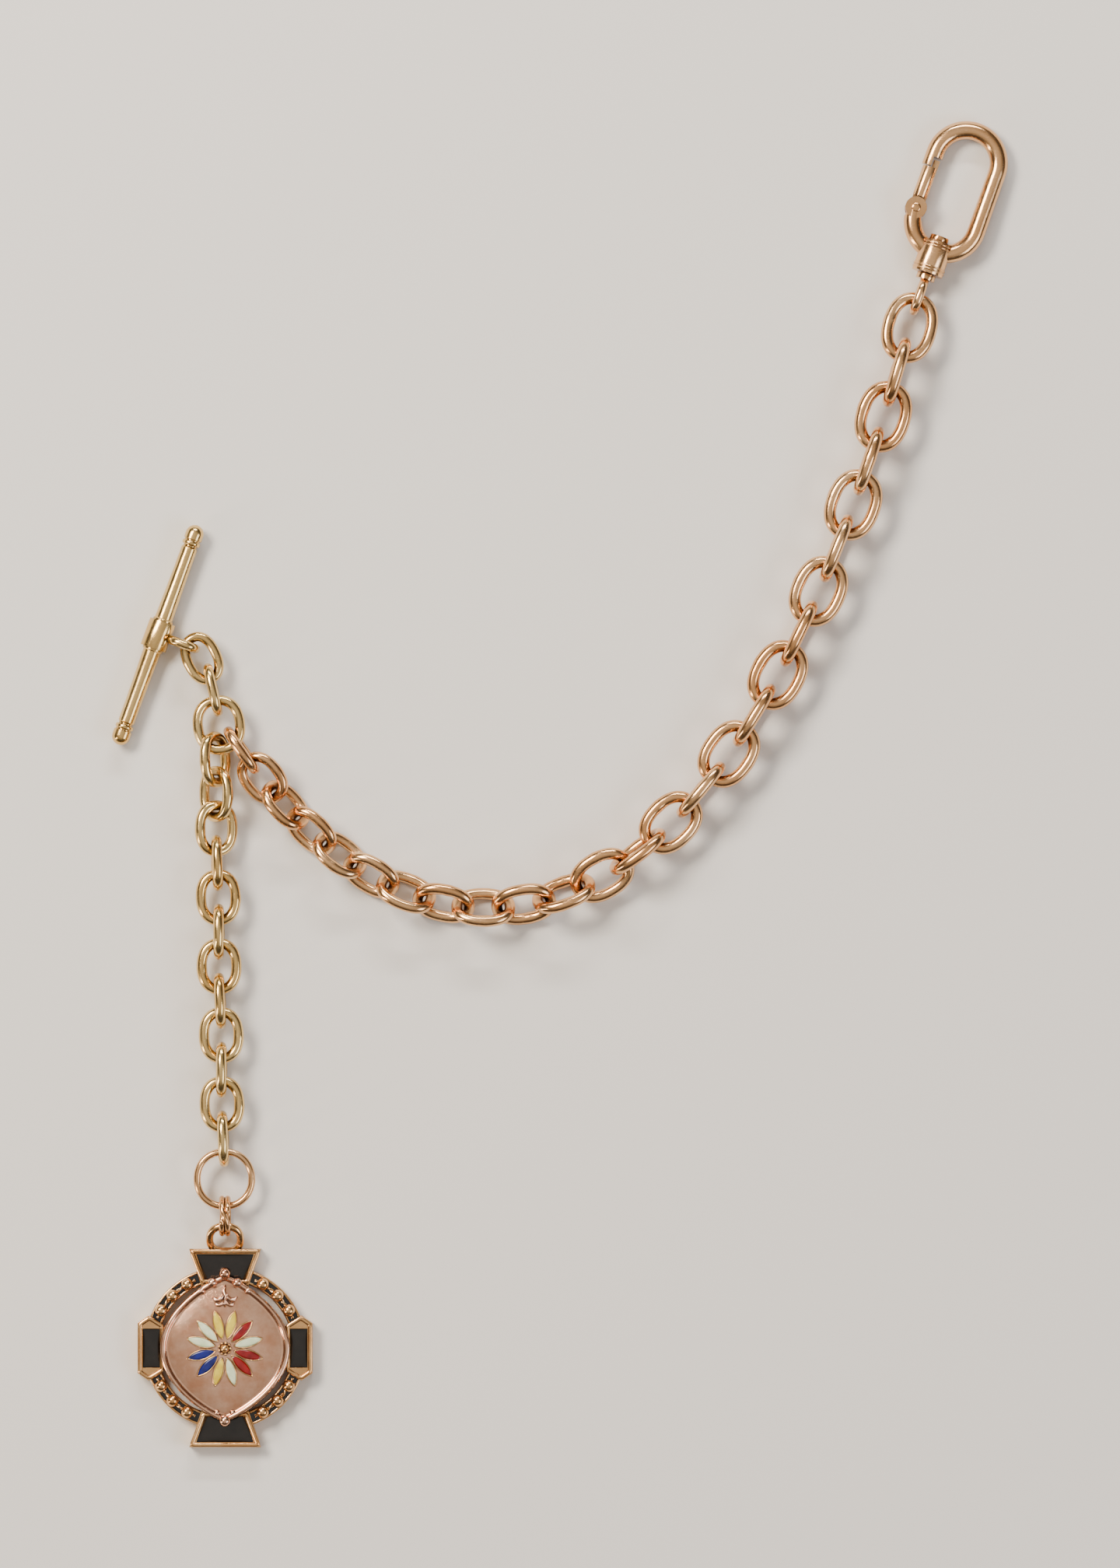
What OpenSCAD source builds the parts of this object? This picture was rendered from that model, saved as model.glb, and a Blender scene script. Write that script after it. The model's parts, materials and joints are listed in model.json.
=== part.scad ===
// Pocket watch chain with a T-bar, a drop chain with an enamelled fob, and a swivel clasp.
// It lies on a table, which is z = 0, in the curve that it hangs in when it is worn.
// The origin is the centre of the fob's flat back. +Y runs up the drop chain, +X towards the clasp, +Z up.

/* [Drape] */
// Radius of the main chain's catenary at its lowest point
drape_a = 25.5; // [22:0.5:34]
// Length of main chain from the junction link to the lowest point
drape_low = 38.5; // [34:0.5:46]
// Angle of the drop chain from straight up
drop_lean = 1.2; // [-3:0.1:3]
// How far the drop chain's links swing to either side of that angle
drop_sway = 1.4; // [0:0.1:2]

/* [Chain links] */
// Outer length of the smallest link
small_len = 6.8; // [6.4:0.05:8.2]
// Outer width of the smallest link
small_wid = 5.4; // [5:0.1:6.5]
// Wire of the smallest link
small_wire = 1.25; // [1:0.05:1.3]
// Outer length of the largest link
large_len = 8.75; // [8:0.05:10.5]
// Outer width of the largest link
large_wid = 6.6; // [6:0.1:8]
// Wire of the largest link
large_wire = 1.5; // [1.2:0.05:1.6]
// Number of links over which the main chain grows
graded_count = 17; // [8:1:24]
// Play where one link pulls on the next
link_play = 0.16; // [0.12:0.01:0.4]
// Straight bit of wire in the middle of each link's ends
end_flat = 0.4; // [0.2:0.05:0.6]

/* [Junction link] */
// Outer length of the link that joins the three chains
junction_len = 7.2; // [7:0.1:9]
// Outer width of that link
junction_wid = 6.3; // [6.2:0.1:8]
// Wire of that link
junction_wire = 1.25; // [1:0.05:1.3]
// Angle of that link's long axis from +X
junction_heading = 97; // [90:1:105]

/* [T-bar] */
// Outer length of the two links beside the T-bar
bar_link_len = 6.6; // [6.2:0.1:8]
// Outer width of those links
bar_link_wid = 4.7; // [4.5:0.1:5.6]
// Wire of those links
bar_link_wire = 1.2; // [0.9:0.05:1.25]
// Length of the T-bar
bar_len = 28; // [22:1:36]
// Diameter of the T-bar
bar_dia = 2.2; // [1.8:0.1:2.6]
// Length of the collar that is soldered round the middle of the T-bar
collar_len = 3.4; // [2.6:0.2:5]
// Wall of that collar
collar_wall = 0.35; // [0.3:0.05:0.6]
// Outer length of the collar's eye
eye_len = 4.1; // [4:0.1:4.6]
// Wire of the collar's eye
eye_wire = 1.1; // [0.8:0.05:1.2]

/* [Jump rings] */
// Outside of the large jump ring under the drop chain
big_ring_dia = 7.4; // [6.4:0.1:9]
// Wire of the large jump ring
big_ring_wire = 0.85; // [0.7:0.05:1]
// Outside of the small double ring
small_ring_dia = 5; // [4.8:0.1:6]
// Wire of the small double ring
small_ring_wire = 0.75; // [0.6:0.05:0.85]
// Outside of the ring that is soldered on the fob
bail_dia = 4.6; // [4.4:0.1:5.6]
// Wire of that ring
bail_wire = 0.9; // [0.7:0.05:1]

/* [Fob] */
// Half of the fob's height, over the upper and lower arms
fob_half_h = 11.9; // [11.2:0.1:15]
// Half of the fob's width, over the side arms
fob_half_w = 10.5; // [10.3:0.1:12]
// Outer radius of the fob's ring
ring_r = 9.8; // [9.6:0.1:10.2]
// Width of the fob's ring
ring_w = 1.7; // [1.5:0.1:2.2]
// Thickness of the fob's plate
plate_t = 1.6; // [1.2:0.1:2.4]
// Height of the raised borders over the plate
border_h = 0.4; // [0.2:0.05:0.6]
// Width of the raised borders
border_w = 0.6; // [0.4:0.05:0.8]
// Depth of the black enamel in the arms
enamel_t = 0.5; // [0.3:0.05:0.8]
// Number of beads in each quarter of the ring
bead_count = 3; // [2:1:4]
// Diameter of a bead
bead_dia = 1.5; // [1.2:0.05:1.8]
// Pitch of the beads over their diameter
bead_spread = 1.48; // [1.1:0.02:1.7]
// Half of the shield's width
shield_a = 7.8; // [7:0.1:8]
// Half of the shield's height
shield_b = 8.9; // [8:0.1:9]
// Radius of the shield's domed face
dome_r = 23; // [20:1:40]
// Reach of the petals from the rosette's centre
petal_reach = 4.7; // [4:0.1:5.4]
// Width of a petal
petal_w = 1.15; // [0.9:0.05:1.5]

/* [Swivel clasp] */
// Outer length of the eye at the clasp's end
swivel_len = 4.8; // [4.6:0.1:5.6]
// Outer width of that eye
swivel_wid = 4.6; // [4.4:0.1:5]
// Wire of that eye
swivel_wire = 1.1; // [0.9:0.05:1.2]
// Diameter of the shank that the hook turns on
shank_dia = 1.4; // [1.2:0.1:1.6]
// Running clearance round the shank and round the gate's pin
pivot_gap = 0.05; // [0.03:0.01:0.08]
// Length of the hook's collar
hook_collar_len = 4; // [3:0.2:6]
// Outer radius of the hook's collar
hook_collar_r = 1.9; // [1.7:0.1:2]
// Thickness of the hook's wire
hook_wire = 2.2; // [2:0.1:2.6]
// Half of the hook's width, at the middle of its wire
hook_r = 3.9; // [3.6:0.1:5]
// Straight length of the hook between its round ends
hook_run = 7.6; // [7:0.2:12]
// Diameter of the gate's pin
gate_pin_dia = 0.8; // [0.6:0.05:0.9]

/* [Hidden] */
main_count = 26;
drop_count = 12;
function numbered(word, i) = str(word, i < 10 ? "0" : "", i);

$fn = 40;
pale_gold = "#e8cf96";
rose_gold = "#e2a86a";
fob_gold = "#e3bd84";

// ---- wire ovals: quarter rings at the corners and straight wire between them, on a long X axis ----

function half_len(len, wire) = (len - wire) / 2;
function corner_r(wid, wire) = half_len(wid, wire) - end_flat / 2;
// distance from a link's middle to where its neighbour pulls on it
function half_pitch(len, wire) = len / 2 - wire - link_play / 2;

module wire_oval(len, wid, wire) {
    a = half_len(len, wire);
    r = corner_r(wid, wire);
    for (m = [0, 1]) mirror([m, 0, 0]) translate([a, 0, 0]) rotate([90, 0, 0])
        cylinder(d = wire, h = end_flat, center = true);
    if (a > r) for (n = [0, 1]) mirror([0, n, 0]) translate([0, half_len(wid, wire), 0]) rotate([0, 90, 0])
        cylinder(d = wire, h = 2 * (a - r), center = true);
    for (m = [0, 1]) mirror([m, 0, 0]) for (n = [0, 1]) mirror([0, n, 0])
        translate([a - r, end_flat / 2, 0]) rotate_extrude(angle = 90) translate([r, 0]) circle(d = wire);
}

// where a neighbour pulls on the round corner of an oval, alpha degrees from its +X end towards +Y
function corner_pull(len, wid, wire, alpha) =
    let (r = corner_r(wid, wire), reach = r - wire / 2 - link_play / 2)
    [half_len(len, wire) - r + reach * cos(alpha), sign(alpha) * end_flat / 2 + reach * sin(alpha)];

// ---- placing: theta turns about Z, phi lifts the far end, roll turns about the long axis ----

function along(theta, phi) = [cos(theta) * cos(phi), sin(theta) * cos(phi), sin(phi)];
function turned(p, theta) = [p[0] * cos(theta) - p[1] * sin(theta), p[0] * sin(theta) + p[1] * cos(theta), 0];
module at(seat) translate(seat[0]) rotate([seat[3], -seat[2], seat[1]]) children();

// height at which a rolled link of this size rests on the table
function rest_h(wid, wire, roll) = half_len(wid, wire) * abs(sin(roll)) + wire / 2;
function lift(from_z, to_z, run) = asin((to_z - from_z) / run);
function smooth(x) = let (t = max(0, min(1, x))) t * t * (3 - 2 * t);

// ---- fob, bail and jump rings, from the origin upwards ----

plate_top = plate_t;
// the ring's wire is let this far into the edge of the upper arm
bail_inset = 0.35;
bail_foot = [0, fob_half_h - bail_inset, plate_t / 2];
bail_half = half_len(bail_dia, bail_wire);
small_ring_z = small_ring_dia / 2;
bail_reach = bail_half + half_pitch(bail_dia, bail_wire);
bail_phi = asin((small_ring_z - bail_foot[2]) / bail_reach);
bail_seat = [bail_foot + bail_half * along(90, bail_phi), 90, bail_phi, 0];
bail_pull = bail_foot + bail_reach * along(90, bail_phi);

small_ring_pitch = 2 * half_pitch(small_ring_dia, small_ring_wire);
small_ring_seat = [bail_pull + small_ring_pitch / 2 * along(90, 0), 90, 0, 90];
small_ring_pull = bail_pull + small_ring_pitch * along(90, 0);

big_ring_pitch = 2 * half_pitch(big_ring_dia, big_ring_wire);
big_ring_phi = lift(small_ring_z, small_wid / 2, big_ring_pitch);
big_ring_dir = along(90 + drop_lean, big_ring_phi);
big_ring_seat = [small_ring_pull + big_ring_pitch / 2 * big_ring_dir, 90 + drop_lean, big_ring_phi, 0];
big_ring_pull = small_ring_pull + big_ring_pitch * big_ring_dir;

// ---- drop chain: link 1 is the highest; odd links lie flat, and the first ones roll towards the junction ----

small_pitch = 2 * half_pitch(small_len, small_wire);
drop_first_roll = 55;
drop_roll_fade = 3.5;
function drop_roll(k) = (k % 2 == 0 ? 90 : 0) + drop_first_roll * (1 - smooth((k - 1) / drop_roll_fade));
drop_sway_turn = 100;
function drop_heading(k) = 90 + drop_lean + drop_sway * sin(drop_sway_turn * k);
drop_dirs = [for (k = [0:drop_count]) along(drop_heading(k), 0)];
// pull points from the lowest, under link 12, to the highest, over link 1
drop_pulls = [for (k = drop_count, p = big_ring_pull; k >= 0; p = k > 0 ? p + small_pitch * drop_dirs[k] : p,
                   k = k - 1) p];
function drop_seat(k) = [drop_pulls[drop_count - k] + small_pitch / 2 * drop_dirs[k], drop_heading(k), 0,
                         drop_roll(k)];

// ---- junction link, pulled by the drop chain low on its left and by the main chain low on its right ----

junction_drop_angle = 24;
junction_slack = 0.16;
junction_main_angle = 54;
junction_z = small_wid / 2;
function junction_pull(alpha) =
    turned(-corner_pull(junction_len - 2 * junction_slack, junction_wid - 2 * junction_slack,
                        junction_wire, alpha), junction_heading);
junction_at = drop_pulls[drop_count] - junction_pull(-junction_drop_angle);
junction_seat = [junction_at, junction_heading, 0, 0];

// ---- links to the T-bar ----

bar_link_pitch = 2 * half_pitch(bar_link_len, bar_link_wire);
bar_link_z = bar_link_wid / 2;
bar_1_heading = 103;
bar_1_phi = lift(junction_z, bar_link_z, bar_link_pitch);
bar_1_dir = along(bar_1_heading, bar_1_phi);
bar_1_from = junction_at + half_pitch(junction_len, junction_wire) * along(junction_heading, 0);
bar_1_seat = [bar_1_from + bar_link_pitch / 2 * bar_1_dir, bar_1_heading, bar_1_phi, 90];
bar_2_from = bar_1_from + bar_link_pitch * bar_1_dir;
bar_2_heading = 115;
bar_2_seat = [bar_2_from + bar_link_pitch / 2 * along(bar_2_heading, 0), bar_2_heading, 0, 0];

eye_angle = 35;
eye_heading = 160;
eye_from = bar_2_seat[0] + turned(corner_pull(bar_link_len, bar_link_wid, bar_link_wire, eye_angle),
                                  bar_2_heading);
eye_wid = eye_len;
// the T-bar is thicker where the collar sits, a little past both its ends
boss_step = 0.15;
boss_past = 0.3;
boss_r = bar_dia / 2 + boss_step;
boss_len = collar_len + 2 * boss_past;
collar_r = boss_r + collar_wall;
// the eye's far wire lies in the collar's wall, so the T-bar's axis is this far past the eye's pull point
wire_off_bar = 0.05;
eye_to_bar = half_pitch(eye_len, eye_wire) + half_len(eye_len, eye_wire) + boss_r + eye_wire / 2
    + wire_off_bar;
eye_phi = lift(bar_link_z, collar_r, eye_to_bar);
eye_seat = [eye_from + half_pitch(eye_len, eye_wire) * along(eye_heading, eye_phi), eye_heading, eye_phi, 90];
bar_at = eye_from + eye_to_bar * along(eye_heading, eye_phi);

// ---- main chain: a catenary, face on and edge on by turns at the clasp, at 45 degrees in the low part ----

function grade(i) = min(1, (i - 1) / (graded_count - 1));
function graded(small, large, i) = round(100 * (small + (large - small) * grade(i))) / 100;
function main_len(i) = graded(small_len, large_len, i);
function main_wid(i) = graded(small_wid, large_wid, i);
function main_wire(i) = graded(small_wire, large_wire, i);
function main_pitch(i) = 2 * half_pitch(main_len(i), main_wire(i));
lean_in = 3;
lean_out_from = 9;
lean_out_to = 15;
lean_most = 45;
function main_lean(i) = lean_most * smooth((i - 0.5) / lean_in)
    * (1 - smooth((i - lean_out_from) / (lean_out_to - lean_out_from)));
function main_roll(i) = (i % 2 == 0 ? 0 : 90) + main_lean(i);
function main_rest(i) = rest_h(main_wid(i), main_wire(i), main_roll(i));
main_arcs = [for (i = 0, s = 0; i <= main_count; i = i + 1, s = s + main_pitch(i)) s];
function main_heading(i) = atan((main_arcs[i - 1] + main_pitch(i) / 2 - drape_low) / drape_a);
// the swivel eye and the other links hold each pull point up
swivel_off_table = 0.15;
swivel_z = swivel_wid / 2 + swivel_off_table;
main_heights = [for (i = [0:main_count]) i == 0 ? junction_z
    : max(main_rest(i), i < main_count ? main_rest(i + 1) : swivel_z)];
function main_phi(i) = lift(main_heights[i - 1], main_heights[i], main_pitch(i));
main_start = junction_at + junction_pull(junction_main_angle);
main_pulls = [for (i = 0, p = main_start; i <= main_count; i = i + 1,
                   p = i <= main_count ? p + main_pitch(i) * along(main_heading(i), main_phi(i)) : p) p];
function main_seat(i) = [(main_pulls[i - 1] + main_pulls[i]) / 2, main_heading(i), main_phi(i), main_roll(i)];

// ---- swivel clasp: its own X axis starts at the pull point of the last link ----

clasp_turn = -4;
clasp_heading = main_heading(main_count) + clasp_turn;
swivel_mid = half_pitch(swivel_len, swivel_wire);
// the flange bites this far into the eye's wire, and the hook's round end into its collar
flange_bite = 0.3;
collar_bite = 0.2;
flange_x = swivel_mid + swivel_len / 2 - flange_bite;
flange_t = 0.7;
flange_r = 1.15;
play_x = 0.1;
hook_x = flange_x + flange_t + play_x;
hook_seat_x = hook_x + hook_collar_len;
rivet_t = 0.6;
rivet_r = 1.15;
base_x = hook_seat_x - collar_bite - hook_wire / 2 + hook_r;
far_x = base_x + hook_run;
clasp_phi = lift(main_heights[main_count], hook_wire / 2, far_x + hook_r);
clasp_seat = [main_pulls[main_count], clasp_heading, clasp_phi, 0];
gate_x = base_x + 0.4;
ear_r = 1.3;
// the ears are flatter than the wire is thick
ear_t = hook_wire - 0.1;
// room round the gate's knuckle, and behind its shoulder, when it swings in
swing_gap = 0.1;
swing_room = 3;
gate_slot = 1.1;
gate_leaf = gate_slot - 2 * pivot_gap;
knuckle_r = 1.2;
gate_wire = 1.8;
gate_end_x = far_x - 2;
tip_gap = 0.15;
tongue_len = 1;
tongue_t = 1;
// the gate's leaf is let this far into its wire, and its wire starts this far past the ears
leaf_in = 0.6;
shoulder_gap = 0.15;
leaf_half = 0.7 * knuckle_r;
spring_r = 0.72;
spring_h = 0.35;

// ---- modules ----

module t_bar() color(pale_gold) {
    end_r = bar_dia / 2;
    translate(bar_at) rotate([0, 0, eye_heading]) rotate([90, 0, 0]) {
        cylinder(r = end_r, h = bar_len - 2 * end_r, center = true);
        cylinder(r = boss_r, h = boss_len, center = true);
        for (s = [-1, 1]) translate([0, 0, s * (bar_len / 2 - end_r)]) intersection() {
            sphere(r = end_r);
            translate([0, 0, s * end_r / 2]) cube([3 * end_r, 3 * end_r, end_r], center = true);
        }
    }
}

module t_bar_eye() color(pale_gold) difference() {
    union() {
        at(eye_seat) wire_oval(eye_len, eye_wid, eye_wire);
        translate(bar_at) rotate([0, 0, eye_heading]) rotate([90, 0, 0])
            cylinder(r = collar_r, h = collar_len, center = true);
    }
    translate(bar_at) rotate([0, 0, eye_heading]) rotate([90, 0, 0])
        cylinder(r = boss_r, h = 2 * collar_len, center = true);
}

module t_bar_link(seat) color(pale_gold) at(seat) wire_oval(bar_link_len, bar_link_wid, bar_link_wire);

module junction_link() color(pale_gold) at(junction_seat)
    wire_oval(junction_len, junction_wid, junction_wire);

module main_link(i) color(rose_gold) at(main_seat(i)) wire_oval(main_len(i), main_wid(i), main_wire(i));

module drop_link(k) color(pale_gold) at(drop_seat(k)) wire_oval(small_len, small_wid, small_wire);

module large_jump_ring() color(rose_gold) at(big_ring_seat)
    wire_oval(big_ring_dia, big_ring_dia, big_ring_wire);

// its two turns are pressed together by a tenth of the wire
turn_press = 0.9;
module small_double_ring() color(rose_gold) at(small_ring_seat)
    rotate_extrude() translate([half_len(small_ring_dia, small_ring_wire), 0])
        for (s = [-1, 1]) translate([0, s * turn_press * small_ring_wire / 2]) circle(d = small_ring_wire);

module fob_bail() color(fob_gold) difference() {
    at(bail_seat) wire_oval(bail_dia, bail_dia, bail_wire);
    translate([-bail_dia, -fob_half_h, -bail_dia]) cube([2 * bail_dia, 2 * fob_half_h, 3 * bail_dia]);
}

// an arm on +X: flared from its root to its outer edge, less a border of b all round
module arm_outline(reach, root_half, tip_half, root_x, b = 0) {
    slope = (tip_half - root_half) / (reach - root_x);
    side = b * sqrt(1 + slope * slope);
    function half_at(x) = root_half + slope * (x - root_x) - side;
    x0 = root_x + b;
    x1 = reach - b;
    polygon([[x0, -half_at(x0)], [x1, -half_at(x1)], [x1, half_at(x1)], [x0, half_at(x0)]]);
}

upper_root_half = 2.85;
upper_tip_half = 4.3;
upper_under_shield = 1.3;
upper_root_x = shield_b - upper_under_shield;
side_root_half = 2.6;
side_tip_half = 3;
side_root_x = shield_a - border_w;
side_shoulder_half = 3.9;
side_shoulder_x = fob_half_w - 1.3;
side_cell_half = 2.35;

module upper_arms(b = 0) for (s = [-1, 1]) rotate([0, 0, s * 90])
    arm_outline(fob_half_h, upper_root_half, upper_tip_half, upper_root_x, b);
module side_arms() for (m = [0, 1]) mirror([m, 0, 0]) polygon([
    [side_root_x, -side_root_half], [side_shoulder_x, -side_shoulder_half], [fob_half_w, -side_tip_half],
    [fob_half_w, side_tip_half], [side_shoulder_x, side_shoulder_half], [side_root_x, side_root_half]]);
module side_cells() for (m = [0, 1]) mirror([m, 0, 0]) translate([side_root_x + border_w, -side_cell_half])
    square([fob_half_w - side_root_x - 2 * border_w, 2 * side_cell_half]);

bead_off_middle = 0.05;
bead_circle_r = ring_r - ring_w / 2 - bead_off_middle;
// the bars of the cross under the shield end this far inside the ring's outer edge
cross_short = 0.5;
bead_step = 2 * asin(bead_dia * bead_spread / 2 / bead_circle_r);

module fob_frame() color(fob_gold) difference() {
    union() {
        difference() {
            cylinder(r = ring_r, h = plate_top);
            translate([0, 0, -1]) cylinder(r = ring_r - ring_w, h = plate_top + 2);
        }
        for (s = [0, 1]) rotate([0, 0, 90 * s]) {
            half = s == 0 ? side_root_half : upper_root_half;
            translate([cross_short - ring_r, -half, 0])
                cube([2 * (ring_r - cross_short), 2 * half, plate_top]);
        }
        linear_extrude(plate_top + border_h) {
            side_arms();
            upper_arms();
        }
    }
    translate([0, 0, plate_top - enamel_t]) linear_extrude(2 * enamel_t + border_h) {
        upper_arms(border_w);
        side_cells();
    }
}

module fob_arm_enamel() color("#14120f") translate([0, 0, plate_top - enamel_t]) linear_extrude(enamel_t) {
    upper_arms(border_w);
    side_cells();
}

first_bead = 45 - bead_step * (bead_count - 1) / 2;
// share of a bead's diameter by which its middle is over the plate, and of the strand that joins the beads
bead_rise = 0.3;
strand_share = 0.45;
bead_seat_z = plate_top + bead_dia * bead_rise;

module fob_bead_strips() color(fob_gold) for (q = [0:3]) rotate([0, 0, 90 * q]) difference() {
    translate([0, 0, bead_seat_z]) {
        rotate([0, 0, first_bead]) rotate_extrude(angle = bead_step * (bead_count - 1))
            translate([bead_circle_r, 0]) circle(d = bead_dia * strand_share);
        for (n = [0:bead_count - 1]) rotate([0, 0, first_bead + bead_step * n])
            translate([bead_circle_r, 0, 0]) sphere(d = bead_dia);
    }
    translate([0, 0, plate_top - bead_dia]) cube([2 * ring_r, 2 * ring_r, bead_dia]);
}

// 2 gives an oval; less than that draws the shield's top and bottom to points
shield_power = 1.15;
shield_points = 96;
shield_base_h = 0.9;
rim_w = 0.7;
rim_h = 0.3;
field_rise = 0.75;
field_gap = 0.01;
// place over the fob's middle and radius of the crest's three balls and of the lower ball
crest_balls = [[0, shield_b + 0.1, 0.7], [-1.5, shield_b - 1, 0.6], [1.5, shield_b - 1, 0.6],
               [0, -shield_b + 0.2, 0.7]];
ball_off_border = 0.1;
function shield_point(a, b, t) =
    let (c = cos(t)) [a * sign(c) * pow(abs(c), 2 / shield_power), b * sin(t)];
module shield_outline(b = 0)
    polygon([for (n = [0:shield_points - 1])
        shield_point(shield_a - b, shield_b - b, 360 * (n + 0.5) / shield_points)]);
dome_top = plate_top + shield_base_h + field_rise;
dome_centre = [0, 0, dome_top - dome_r];

module fob_shield() color(rose_gold) {
    difference() {
        union() {
            translate([0, 0, plate_top]) linear_extrude(shield_base_h) shield_outline();
            translate([0, 0, plate_top]) linear_extrude(shield_base_h + rim_h) difference() {
                shield_outline();
                shield_outline(rim_w);
            }
            intersection() {
                translate([0, 0, plate_top]) linear_extrude(3 * shield_base_h) shield_outline(rim_w / 2);
                translate(dome_centre) sphere(r = dome_r, $fn = 200);
            }
            for (p = crest_balls)
                translate([p[0], p[1], plate_top + border_h + ball_off_border + p[2]]) sphere(r = p[2]);
        }
        translate([0, 0, plate_top - 2]) linear_extrude(2 + border_h + field_gap) {
            upper_arms();
            side_arms();
        }
    }
}

// petal colours round the rosette, in steps of 30 degrees from 15 degrees
petal_order = ["pale", "red", "yellow", "yellow", "pale", "pale",
               "blue", "blue", "yellow", "pale", "red", "red"];
petal_step = 360 / len(petal_order);
petal_root = 1.15;
petal_h = 0.2;
stud_r = 0.85;

module petal_outline() {
    half = (petal_reach - petal_root) / 2;
    r = (half * half + petal_w * petal_w / 4) / petal_w;
    translate([petal_root + half, 0]) intersection_for(s = [-1, 1])
        translate([0, s * (r - petal_w / 2)]) circle(r = r, $fn = 120);
}

module petals(colour, paint) color(paint) for (n = [0:len(petal_order) - 1]) if (petal_order[n] == colour)
    intersection() {
        rotate([0, 0, petal_step * (n + 0.5)]) translate([0, 0, plate_top]) linear_extrude(4) petal_outline();
        difference() {
            translate(dome_centre) sphere(r = dome_r + petal_h, $fn = 200);
            translate(dome_centre) sphere(r = dome_r + field_gap, $fn = 200);
        }
    }

module rosette_stud() color(fob_gold) intersection() {
    translate([0, 0, dome_top]) sphere(r = stud_r);
    difference() {
        translate([0, 0, dome_top - stud_r - 0.15]) cylinder(r = stud_r + 0.15, h = 2 * (stud_r + 0.15));
        translate(dome_centre) sphere(r = dome_r + field_gap, $fn = 200);
    }
}

module clasp_eye() color(rose_gold) at(clasp_seat) {
    translate([swivel_mid, 0, 0]) rotate([90, 0, 0]) wire_oval(swivel_len, swivel_wid, swivel_wire);
    rotate([0, 90, 0]) {
        translate([0, 0, flange_x]) cylinder(r = flange_r, h = flange_t);
        translate([0, 0, flange_x])
            cylinder(d = shank_dia, h = hook_seat_x + play_x - flange_x + rivet_t / 2);
        translate([0, 0, hook_seat_x + play_x]) cylinder(r = rivet_r, h = rivet_t);
    }
}

module hook_arc(x, from, to) translate([x, 0, 0]) rotate([0, 0, from])
    rotate_extrude(angle = to - from) translate([hook_r, 0]) circle(d = hook_wire);
module hook_bar(x0, x1, y) translate([x0, y, 0]) rotate([0, 90, 0]) cylinder(d = hook_wire, h = x1 - x0);

module clasp_hook() color(rose_gold) at(clasp_seat) difference() {
    union() {
        translate([hook_x, 0, 0]) rotate([0, 90, 0]) cylinder(r = hook_collar_r, h = hook_collar_len);
        hook_arc(base_x, 90, 270);
        hook_bar(base_x, far_x, -hook_r);
        hook_arc(far_x, -90, 90);
        hook_bar(gate_end_x + tip_gap, far_x, hook_r);
        hook_bar(base_x, gate_x, hook_r);
        translate([gate_x, hook_r, 0]) cylinder(r = ear_r, h = ear_t, center = true);
    }
    rotate([0, 90, 0]) cylinder(d = shank_dia + 2 * pivot_gap, h = hook_seat_x + 1);
    // slot for the gate's leaf, hole for its pin, and the step that its tongue closes on
    translate([gate_x - knuckle_r - swing_gap, hook_r - swing_room, -gate_slot / 2])
        cube([2 * swing_room, 2 * swing_room, gate_slot]);
    translate([gate_x, hook_r, 0]) cylinder(d = gate_pin_dia, h = 2 * hook_wire, center = true);
    translate([gate_end_x - tongue_len, hook_r - swing_room, -hook_wire])
        cube([2 * (tongue_len + tip_gap), swing_room, 2 * hook_wire]);
}

module clasp_gate() color(rose_gold) at(clasp_seat) difference() {
    union() {
        translate([gate_x, hook_r, 0]) cylinder(r = knuckle_r, h = gate_leaf, center = true);
        translate([gate_x, hook_r - leaf_half, -gate_leaf / 2])
            cube([ear_r + leaf_in, 2 * leaf_half, gate_leaf]);
        translate([gate_x + ear_r + shoulder_gap, hook_r, 0]) rotate([0, 90, 0])
            cylinder(d = gate_wire, h = gate_end_x - gate_x - ear_r - shoulder_gap);
        translate([gate_end_x - tongue_len, hook_r - gate_wire / 2, -tongue_t / 2])
            cube([2 * tongue_len, gate_wire / 2 - tip_gap, tongue_t]);
    }
    translate([gate_x, hook_r, 0])
        cylinder(d = gate_pin_dia + 2 * pivot_gap, h = 2 * hook_wire, center = true);
    translate([gate_x, hook_r, -gate_leaf / 2 - 1])
        cylinder(r = spring_r + pivot_gap, h = 1 + spring_h + pivot_gap);
}

module clasp_gate_pin() color(rose_gold) at(clasp_seat) translate([gate_x, hook_r, 0])
    cylinder(d = gate_pin_dia, h = hook_wire, center = true);

module clasp_gate_spring() color("#b9bcc2") at(clasp_seat) translate([gate_x, hook_r, -gate_slot / 2])
    difference() {
        cylinder(r = spring_r, h = spring_h);
        translate([0, 0, -1]) cylinder(d = gate_pin_dia, h = spring_h + 2);
    }

t_bar();
t_bar_eye();
t_bar_link(bar_1_seat);  // t_bar_link_1
t_bar_link(bar_2_seat);  // t_bar_link_2
junction_link();
for (i = [1:main_count]) main_link(i);
clasp_eye();
clasp_hook();
clasp_gate();
clasp_gate_pin();
clasp_gate_spring();
for (k = [1:drop_count]) drop_link(k);
large_jump_ring();
small_double_ring();
fob_bail();
fob_frame();
fob_arm_enamel();
fob_bead_strips();
fob_shield();
petals("red", "#8c1c1c");  // petals_red
petals("yellow", "#e2cf5a");  // petals_yellow
petals("blue", "#1f2a78");  // petals_blue
petals("pale", "#dfe6c4");  // petals_pale
rosette_stud();
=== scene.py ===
import json
import math
import random

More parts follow.
